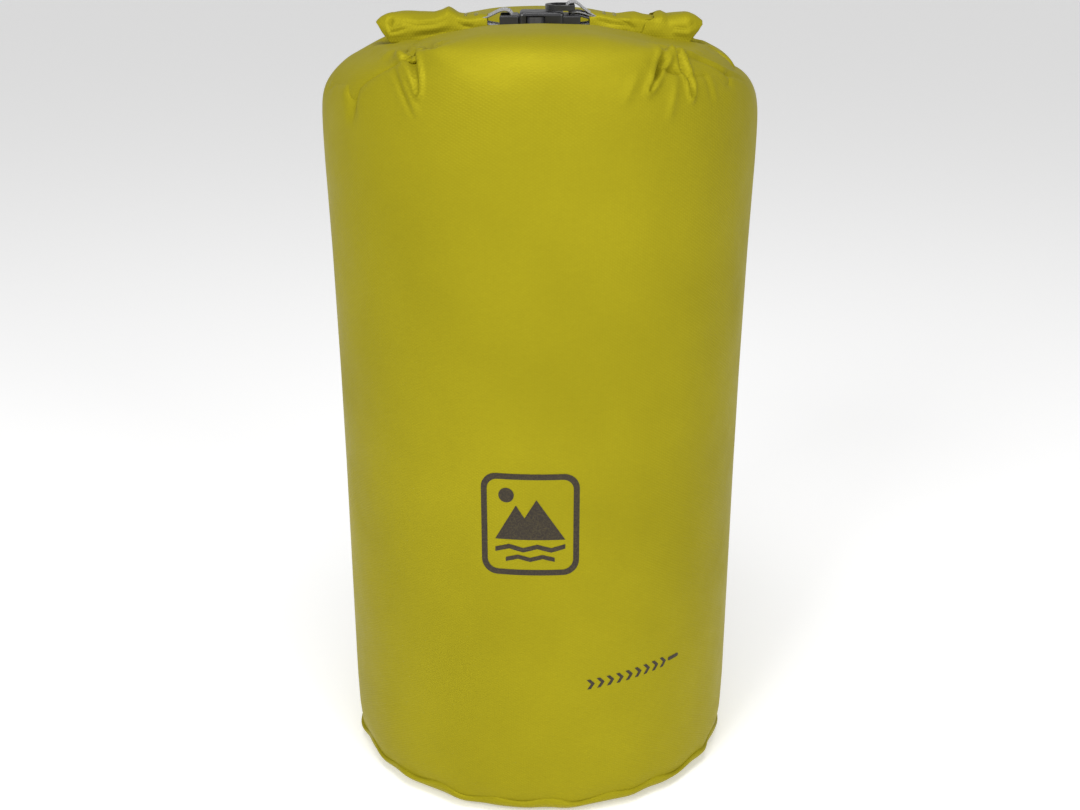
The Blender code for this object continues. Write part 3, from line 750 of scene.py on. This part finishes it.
def arm_mesh(side):
    sign = -1 if side == "left" else 1
    table = np.array(ARMS[side])
    inner, tip = table[0, 0], table[-1, 0]
    stations = np.concatenate([np.arange(inner, tip - 9, 0.9), np.linspace(tip - 9, tip, 18)])
    rings = []
    under = 28
    for x in stations:
        y, z, top, low, half = arm_section(side, x)
        # the underside is hollow over the run below, and closed out past the bend
        roof = np.interp(x, [inner, inner + 8, 76.5, 80.0], [low + 0.8, 454.6, 454.6, low + 1.0])
        roof = min(max(roof, low + 0.5), top - 0.3)
        t = np.linspace(0, 1, under + 2)[1:-1]
        wall = max(half - 1.5, half * 0.7)
        inner_y = wall * np.cos(t * math.pi)
        inner_y = np.sign(inner_y) * wall * np.abs(inner_y / wall) ** 0.45
        inner_z = low + 0.3 + (roof - low - 0.3) * np.sin(t * math.pi) ** 0.5
        both_y, both_z = np.concatenate([y, inner_y]), np.concatenate([z, inner_z])
        rings.append(np.column_stack([np.full(ARM_COUNT + under, x), both_y, both_z]))
    rings = np.array(rings)
    around = ARM_COUNT + under
    # the mouth at the inner end: the fabric turns in over its own thickness
    first = rings[0]
    middle = first.mean(0)
    lip = [first + (middle - first) * np.array([0, 0.03, 0.10]) + [-0.35, 0, 0]]
    throat = [first + (middle - first) * np.array([0, 0.09, 0.26]) + [0.15, 0, 0]]
    deep = [first + (middle - first) * np.array([0, 0.11, 0.30]) + [7.0, 0, 0]]
    shut = [first + (middle - first) * np.array([0, 0.30, 0.90]) + [7.5, 0, 0]]
    rings = np.concatenate([shut, deep, throat, lip, rings])
    points = rings.reshape(-1, 3) * [sign, 1, 1]
    faces = grid_faces(len(rings), around, True)
    points = list(points)
    for ring, flip in ((0, False), (len(rings) - 1, True)):
        start = ring * around
        points.append(np.mean(points[start : start + around], axis=0))
        k = len(points) - 1
        fan = [(start + c, k, start + (c + 1) % around) for c in range(around)]
        faces += [f[::-1] for f in fan] if flip else fan
    if sign > 0:
        faces = [f[::-1] for f in faces]
    points = np.array(points) * MM
    uv = [(p[1] * 0.6 + p[2], p[0] + p[1] * 0.1) for p in points]
    return new_mesh(f"roll_arm_{side}", points, faces, NYLON, uv)


def front_face(points, normals):
    """How much each point belongs to the front of the roll."""
    return np.clip(-normals[:, 1] * 1.6, 0, 1)


def dent(points, place, size, depth):
    d = (points / MM - np.array(place)) / np.array(size)
    return -depth * MM * np.exp(-(d**2).sum(1))


ARM_CREASES = {
    "left": [
        (crease, [(-88, -13, 458), (-85.6, -14, 453.5), (-81, -14.5, 454.5), (-76, -14.5, 456.5)], 1.3, 0.7, 0.9),
        (crease, [(-80, -14, 461), (-70, -14.5, 458), (-60, -14, 458.5), (-52, -13.6, 462.5)], 1.8, 0.5, 0.5),
        (crease, [(-50, -12, 464), (-47, -13.5, 460), (-44, -13.0, 457), (-38, -12, 456)], 2.0, 0.9, 0.6),
        (crease, [(-74, -14.4, 451), (-62, -14.4, 452.5), (-50, -13.8, 455)], 1.8, 0.5, 0.6),
        (crease, [(-90, 12, 458), (-82, 14, 455), (-66, 14.4, 457)], 1.6, 0.9, 0.8),
        (crease, [(-84, 0, 464), (-70, 2, 464), (-58, -2, 465)], 2.0, 0.5, 0.6),
    ],
    "right": [
        (crease, [(31, -11, 461), (40, -12.2, 458.5), (52, -13.4, 457)], 1.7, 0.6, 0.6),
        (crease, [(44, -12.5, 462), (50, -13.2, 459), (54, -13.5, 455)], 1.5, 0.6, 0.6),
        (crease, [(90, -9.5, 458), (84, -13, 455), (76, -14, 456)], 1.6, 0.7, 0.8),
        (crease, [(90, 9.5, 458), (82, 13, 455), (66, 14.0, 457)], 1.6, 0.9, 0.8),
        (crease, [(34, 2, 464), (48, -1, 463.5), (60, 2, 463)], 2.0, 0.5, 0.6),
    ],
}


def crumpled(obj, seed, size, depth):
    """Small soft unevenness, finer along the roll than across it."""
    points, normals = coordinates(obj), vertex_normals(obj)
    places = [Vector(((q[0] * 0.7) / size + seed, q[1] / size, q[2] / size * 1.6)) for q in points]
    shift = np.array([mnoise.noise(place) for place in places])
    set_coordinates(obj, points + normals * (shift * depth)[:, None])


def finish_arm(side):
    sign = -1 if side == "left" else 1
    obj = subdivided(arm_mesh(side), 1)
    apply_modifiers(obj)
    crumpled(obj, 3.0 if side == "left" else 8.0, 9 * MM, 0.55 * MM)
    sculpt(obj, ARM_CREASES[side])
    points, normals = coordinates(obj), vertex_normals(obj)
    if side == "left":
        shift = dent(points, (-86.2, -13.4, 459.6), (1.7, 4.0, 2.6), 2.6)
        shift = shift + dent(points, (-84.0, -14.0, 456.6), (3.4, 5.0, 2.4), 0.8)
    else:
        shift = dent(points, (87.5, -11.5, 458.8), (3.0, 4.0, 1.6), 0.9)
    set_coordinates(obj, points + normals * (shift * front_face(points, normals))[:, None])
    obj.data.shade_smooth()
    return obj


def cuff_mesh():
    """The outer layer of the right arm: its slanting edge lies over the layer below."""
    stations = 60
    tip = 93.9
    grid = []
    for k in range(stations):
        u = (k / (stations - 1)) ** 1.1
        row = []
        for m in range(ARM_COUNT):
            x = 60.0
            for _ in range(3):
                y, z, *_ = arm_section("right", x, 1.0)
                edge = 54.5 + (z[m] - 450.5) * 0.95
                edge += 1.2 * math.sin(m * 0.35)
                x = edge + u * (tip - edge)
            y, z, *_ = arm_section("right", x, 1.05 - 0.35 * u)
            row.append((x, y[m], z[m]))
        grid.append(row)
    points = np.array(grid).reshape(-1, 3) * MM
    faces = [f[::-1] for f in grid_faces(stations, ARM_COUNT, False)]
    uv = [(p[1] * 0.6 + p[2], p[0] + p[1] * 0.1) for p in points]
    return new_mesh("roll_cuff_right", points, faces, NYLON, uv)


def add_arms():
    for side, sign in (("left", -1), ("right", 1)):
        obj = finish_arm(side)
        pieces = [obj]
        if side == "right":
            cuff = cuff_mesh()
            solid = cuff.modifiers.new("thickness", "SOLIDIFY")
            solid.thickness = 0.7 * MM
            solid.offset = 1.0
            subdivided(cuff, 1)
            apply_modifiers(cuff)
            crumpled(cuff, 8.0, 9 * MM, 0.55 * MM)
            sculpt(cuff, ARM_CREASES["right"][2:4])
            pieces.append(cuff)
        for piece in pieces:
            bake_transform(piece)
        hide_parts(f"rolled_arm_{side}", f"roll_bend_{side}")


add_arms()

# ------------------------------------------------------------------ webbing


def strap(name, path, half_width, thickness, material, sign=1):
    """Webbing along a path of (x, z) in mm, its width along Y, with rounded selvedges."""
    line, along = smooth_path(path, 0.7)
    tangent = np.gradient(line, axis=0)
    tangent /= np.linalg.norm(tangent, axis=1)[:, None]
    normal = np.column_stack([-tangent[:, 1], tangent[:, 0]])
    across = np.linspace(-1, 1, 15)
    section = [(a * half_width, 0.5 * thickness * (1 - abs(a) ** 14 * 0.55)) for a in across]
    loop = section + [(y, -h) for y, h in reversed(section)]
    rings, uv = [], []
    for k in range(len(line)):
        for y, h in loop:
            x, z = line[k] + normal[k] * h
            rings.append((sign * x * MM, y * MM, z * MM))
            uv.append((y * MM, along[k] * MM))
    count = len(loop)
    faces = grid_faces(len(line), count, True)
    last = (len(line) - 1) * count
    faces.append(tuple(range(count))[::-1])
    faces.append(tuple(last + c for c in range(count)))
    obj = new_mesh(name, rings, faces, material, uv)
    bm = bmesh.new()
    bm.from_mesh(obj.data)
    bmesh.ops.recalc_face_normals(bm, faces=bm.faces)
    bm.to_mesh(obj.data)
    bm.free()
    edge = obj.modifiers.new("soft_edge", "BEVEL")
    edge.width = 0.25 * MM
    edge.segments = 2
    edge.limit_method = "ANGLE"
    return obj


TAB_LEFT = [
    (39.0, 459.9), (36.5, 460.4), (34.0, 461.0), (30.5, 461.4), (27.0, 463.0), (23.6, 464.6),
    (20.4, 465.2), (17.6, 464.4),
    (16.0, 462.2), (15.6, 459.6), (16.6, 457.2), (19.0, 456.0), (22.5, 456.2), (27.0, 457.0),
    (32.0, 457.7), (40.0, 457.8),
    (46.0, 457.8),
]
TAB_RIGHT = [
    (39.0, 459.8), (35.5, 460.2), (31.0, 460.5), (27.0, 461.2), (23.8, 462.1), (20.9, 462.4),
    (18.6, 461.6), (17.7, 459.6),
    (18.5, 457.5), (20.9, 456.6), (24.5, 457.0), (30.0, 457.6), (38.0, 457.8), (46.0, 457.8),
]
RING_STRAP = [
    (38.5, 460.9), (36.0, 461.4), (32.5, 462.0), (28.5, 463.8), (25.0, 466.2), (22.0, 468.6),
    (19.4, 469.7), (16.6, 469.0),
    (15.6, 467.0), (16.5, 464.9), (18.8, 464.0), (21.6, 464.2), (25.0, 463.6), (28.6, 462.4), (32.5, 461.6),
]


def add_webbing():
    half = (TAB[1][1] - TAB[0][1]) / 2 / MM
    left = strap("webbing_loop_left", TAB_LEFT, half, 1.25, WEBBING, -1)
    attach(left, "left_arm")
    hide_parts("webbing_tab_left")
    right = strap("webbing_loop_right", TAB_RIGHT, half, 1.25, WEBBING_DARK, 1)
    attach(right, "right_arm")
    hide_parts("webbing_tab_right")
    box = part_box("ring_webbing")
    ring = strap("ring_strap", RING_STRAP, (box[1][1] - box[0][1]) / 2 / MM, 1.0, WEBBING, 1)
    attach(ring, "right_arm")
    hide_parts("ring_webbing")


add_webbing()

# ------------------------------------------------------------------ bartacks, on top of the fabric that they hold


def bartack(name, host, x, half_y):
    """A dense zigzag of thread across the strap, laid on the arm's top."""
    bpy.context.view_layer.update()
    tree = BVHTree.FromObject(host, bpy.context.evaluated_depsgraph_get())
    curve = bpy.data.curves.new(name, "CURVE")
    curve.dimensions = "3D"
    curve.bevel_depth = 0.16 * MM
    curve.bevel_resolution = 2
    count = 34
    spline = curve.splines.new("POLY")
    spline.points.add(count - 1)
    for k in range(count):
        y = -half_y + 2 * half_y * k / (count - 1)
        px = x + (0.85 if k % 2 else -0.85) * MM
        hit = tree.ray_cast(Vector((px, y * MM, 0.6)), Vector((0, 0, -1)))
        z = hit[0].z if hit[0] else ARM_Z + 4 * MM
        spline.points[k].co = (px, y * MM, z + 0.02 * MM, 1)
    curve.materials.append(THREAD_OLIVE)
    obj = bpy.data.objects.new(name, curve)
    scene.collection.objects.link(obj)
    return obj


for side, sign in (("left", -1), ("right", 1)):
    host = bpy.data.objects[f"roll_arm_{side}"]
    for tag, x in (("inner", 37.0), ("outer", 43.0)):
        tack = bartack(f"stitch_{side}_{tag}", host, sign * x * MM, 8.2)
        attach(tack, f"{side}_arm")
        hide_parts(f"bartack_{side}_{tag}")

# ------------------------------------------------------------------ CAD pieces that keep their shape

LOOKS = {
    "buckle_male": PLASTIC,
    "buckle_female": PLASTIC,
    "prong_front": PLASTIC_SOFT,
    "prong_rear": PLASTIC_SOFT,
    "d_ring": PLASTIC,
    "base_seam_tape": TAPE,
    "side_seam_tape": TAPE,
    "mouth_hem": NYLON_EDGE_SHADED,
    "arm_hem_left": NYLON_EDGE_SHADED,
    "arm_hem_right": NYLON_EDGE_SHADED,
    "mouth_stiffener": PLASTIC_SOFT,
    "arm_stiffener_left": PLASTIC_SOFT,
    "arm_stiffener_right": PLASTIC_SOFT,
}
for node, look in LOOKS.items():
    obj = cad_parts[node]
    for slot in obj.material_slots:
        slot.material = look
    if not obj.material_slots:
        obj.data.materials.append(look)
    if node.startswith(("buckle", "prong", "d_ring")):
        edge = obj.modifiers.new("soft_edge", "BEVEL")
        edge.width = 0.3 * MM
        edge.segments = 3
        edge.limit_method = "ANGLE"
        edge.angle_limit = math.radians(40)

# ------------------------------------------------------------------ printed marks: plain shapes, no lettering


def rounded(half_w, half_h, radius, steps=8, at=(0, 0)):
    points = []
    for cx, cy, start in ((1, 1, 0), (-1, 1, 90), (-1, -1, 180), (1, -1, 270)):
        for k in range(steps + 1):
            a = math.radians(start + 90 * k / steps)
            x = at[0] + cx * (half_w - radius) + radius * math.cos(a)
            y = at[1] + cy * (half_h - radius) + radius * math.sin(a)
            points.append((x, y))
    return points


def circle(radius, at, steps=32):
    angles = [TURN * k / steps for k in range(steps)]
    return [(at[0] + radius * math.cos(a), at[1] + radius * math.sin(a)) for a in angles]


def print_mark(name, shapes, centre, tilt=0.0):
    """Shapes in mm, laid on the front of the sack round centre (x, z) and lifted off it by the ink's thickness."""
    curve = bpy.data.curves.new(name, "CURVE")
    curve.dimensions = "2D"
    curve.fill_mode = "BOTH"
    for loop in shapes:
        spline = curve.splines.new("POLY")
        spline.points.add(len(loop) - 1)
        for point, (u, v) in zip(spline.points, loop):
            point.co = (u, v, 0, 1)
        spline.use_cyclic_u = True
    holder = bpy.data.objects.new(name + "_outline", curve)
    scene.collection.objects.link(holder)
    bpy.context.view_layer.update()
    mesh = bpy.data.meshes.new_from_object(holder.evaluated_get(bpy.context.evaluated_depsgraph_get()))
    bpy.data.objects.remove(holder)
    bm = bmesh.new()
    bm.from_mesh(mesh)
    us, vs = [v.co.x for v in bm.verts], [v.co.y for v in bm.verts]
    step = 2.5
    for low, high, normal in ((min(us), max(us), (1, 0, 0)), (min(vs), max(vs), (0, 1, 0))):
        for k in range(1, int((high - low) / step) + 1):
            place = low + k * step
            spot = (place * normal[0], place * normal[1], 0)
            bmesh.ops.bisect_plane(bm, geom=bm.verts[:] + bm.edges[:] + bm.faces[:], plane_co=spot, plane_no=normal)
    tree = BVHTree.FromObject(sack, bpy.context.evaluated_depsgraph_get())
    c, s = math.cos(tilt), math.sin(tilt)
    for v in bm.verts:
        u, w = v.co.x * c - v.co.y * s, v.co.x * s + v.co.y * c
        azimuth = math.radians(-90) + (centre[0] + u) * MM / 0.1235
        z = (centre[1] + w) * MM
        far = Vector((0.3 * math.cos(azimuth), 0.3 * math.sin(azimuth), z))
        hit = tree.ray_cast(far, Vector((-math.cos(azimuth), -math.sin(azimuth), 0)))
        v.co = hit[0] + hit[1] * 0.18 * MM if hit[0] else far * 0.4
    bmesh.ops.recalc_face_normals(bm, faces=bm.faces)
    for f in bm.faces:
        f.smooth = True
        if f.normal.y > 0:
            f.normal_flip()
    bm.to_mesh(mesh)
    bm.free()
    mesh.materials.clear()
    mesh.materials.append(INK)
    obj = bpy.data.objects.new(name, mesh)
    scene.collection.objects.link(obj)
    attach(obj, "bag")
    return obj


badge = [
    rounded(28, 31, 9), rounded(24.6, 27.6, 6.2),
    [(-20, -9), (-8, 12), (-3.2, 4.2), (3.6, 15.5), (20, -9)],
    circle(4.4, (-13.5, 18)),
    [(-20, -14.0), (-12, -11.8), (-4, -14.0), (4, -11.8), (12, -14.0), (20, -11.8), (20, -14.6),
    (12, -16.8), (4, -14.6),
     (-4, -16.8), (-12, -14.6), (-20, -16.8)],
    [(-14, -20.0), (-7, -18.2), (0, -20.0), (7, -18.2), (14, -20.0), (14, -22.6), (7, -20.8), (0, -22.6), (-7, -20.8),
     (-14, -22.6)],
]
print_mark("print_badge", badge, (-5.6, 193.0))
row = []
for k in range(9):
    x = -29 + 6.2 * k
    row.append([(x, -3.2), (x + 2.6, 0), (x, 3.2), (x + 2.3, 3.2), (x + 4.9, 0), (x + 2.3, -3.2)])
row.append(rounded(4.4, 1.2, 1.1, 4, (31.5, 0)))
print_mark("print_row", row, (57.0, 91.5), math.radians(4))

# ------------------------------------------------------------------ camera, light, floor

camera_data = bpy.data.cameras.new("camera")
camera_data.lens = 50
camera_data.sensor_width = 36
camera_data.clip_start = 0.01
camera = bpy.data.objects.new("camera", camera_data)
scene.collection.objects.link(camera)
camera.location = (0, -0.898, 0.5315)
camera.rotation_euler = (math.radians(90 - 19), 0, 0)
scene.camera = camera


def area_light(name, place, target, energy, size, size_y=None, colour=(1, 1, 1)):
    data = bpy.data.lights.new(name, "AREA")
    data.energy = energy
    data.size = size
    if size_y:
        data.shape = "RECTANGLE"
        data.size_y = size_y
    data.color = colour
    light = bpy.data.objects.new(name, data)
    scene.collection.objects.link(light)
    light.location = place
    light.rotation_euler = (Vector(target) - Vector(place)).to_track_quat("-Z", "Y").to_euler()
    return light


area_light("key_left", (-0.95, -1.6, 1.45), (0, 0, 0.28), 19, 0.8)
area_light("key_right", (1.05, -1.6, 1.05), (0, 0, 0.28), 11, 0.8)
area_light("top", (0.0, -0.55, 1.7), (0, -0.05, 0.4), 11, 0.7)
world = bpy.data.worlds.new("studio")
world.use_nodes = True
world.node_tree.nodes["Background"].inputs[0].default_value = (1, 1, 1, 1)
world.node_tree.nodes["Background"].inputs[1].default_value = 0.42
scene.world = world
scene.view_settings.view_transform = "Standard"

floor_material, _, floor_shader = node_material("studio_floor", (0.93, 0.93, 0.93), 0.6, specular=0.1)
floor_shader.inputs["Emission Color"].default_value = (1, 1, 1, 1)
floor_shader.inputs["Emission Strength"].default_value = 0.3
bm = bmesh.new()
bmesh.ops.create_grid(bm, x_segments=8, y_segments=8, size=14.0)
floor_mesh = bpy.data.meshes.new("floor")
bm.to_mesh(floor_mesh)
bm.free()
floor_mesh.materials.append(floor_material)
floor = bpy.data.objects.new("floor", floor_mesh)
floor.location = (0, 0, -0.0005)
scene.collection.objects.link(floor)
